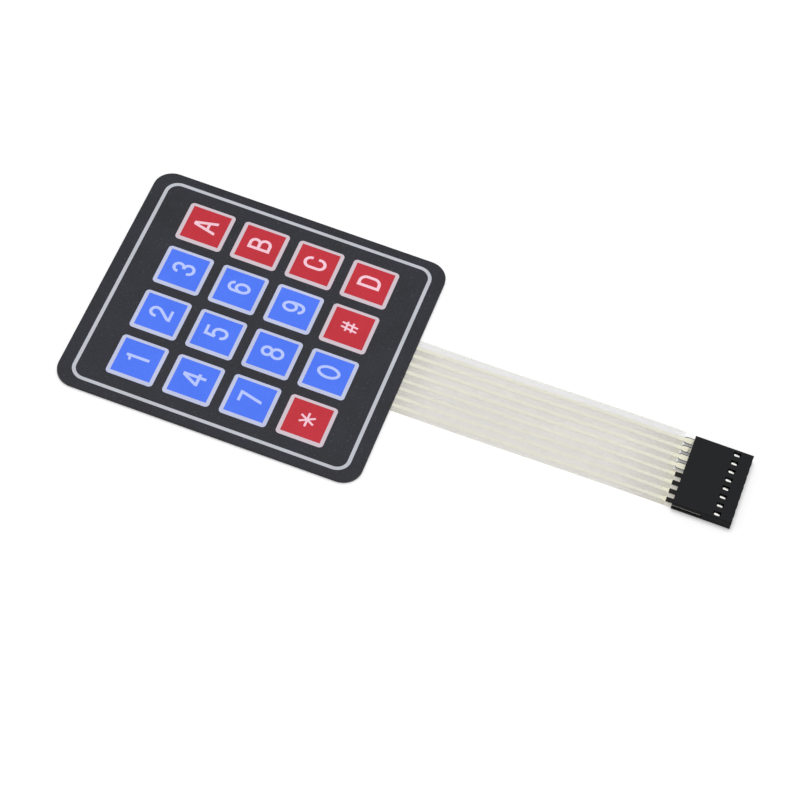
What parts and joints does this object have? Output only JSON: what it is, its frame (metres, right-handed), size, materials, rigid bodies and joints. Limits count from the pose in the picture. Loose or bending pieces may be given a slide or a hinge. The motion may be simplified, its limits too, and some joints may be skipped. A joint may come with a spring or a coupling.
{
  "type": "membrane keypad",
  "caption": "Flat adhesive-backed membrane keypad with printed keys in a square grid, a flat film tail and a single-row crimped socket connector at its end.",
  "frame": {"origin": "middle of the pad's back face, on the release liner", "axes": "+Z out of the key face, +Y towards the top row of keys, and the tail runs along -Y"},
  "size_m": [0.069, 0.162, 0.0026],
  "materials": {
    "overlay_film": "fine matt texture",
    "silver_print": "matt silver ink",
    "blue_print": "matt ink",
    "red_print": "matt ink",
    "white_adhesive": "plain",
    "circuit_film": "translucent film",
    "silver_track": "dull printed silver",
    "carbon_ink": "matt ink",
    "spacer_film": "plain",
    "clear_adhesive": "plain",
    "liner_paper": "coated paper",
    "housing_plastic": "satin moulding",
    "terminal_metal": "bright tin plate"
  },
  "bodies": {
    "root": {"graphic_overlay": "overlay_film", "border_line": "silver_print", "key_frames": "silver_print", "key_1": "blue_print", "key_2": "blue_print", "key_3": "blue_print", "key_a": "red_print", "key_4": "blue_print", "key_5": "blue_print", "key_6": "blue_print", "key_b": "red_print", "key_7": "blue_print", "key_8": "blue_print", "key_9": "blue_print", "key_c": "red_print", "key_star": "red_print", "key_0": "blue_print", "key_hash": "red_print", "key_d": "red_print", "overlay_adhesive": "white_adhesive", "upper_circuit_film": "circuit_film", "column_track_1": "silver_track", "column_track_2": "silver_track", "column_track_3": "silver_track", "column_track_4": "silver_track", "column_carbon": "carbon_ink", "spacer": "spacer_film", "row_track_1": "silver_track", "row_track_2": "silver_track", "row_track_3": "silver_track", "row_track_4": "silver_track", "row_carbon": "carbon_ink", "lower_circuit_film": "circuit_film", "rear_adhesive": "clear_adhesive", "release_liner": "liner_paper", "connector_housing": "housing_plastic", "terminal_1": "terminal_metal", "terminal_2": "terminal_metal", "terminal_3": "terminal_metal", "terminal_4": "terminal_metal", "terminal_5": "terminal_metal", "terminal_6": "terminal_metal", "terminal_7": "terminal_metal", "terminal_8": "terminal_metal"}
  },
  "joints": []
}
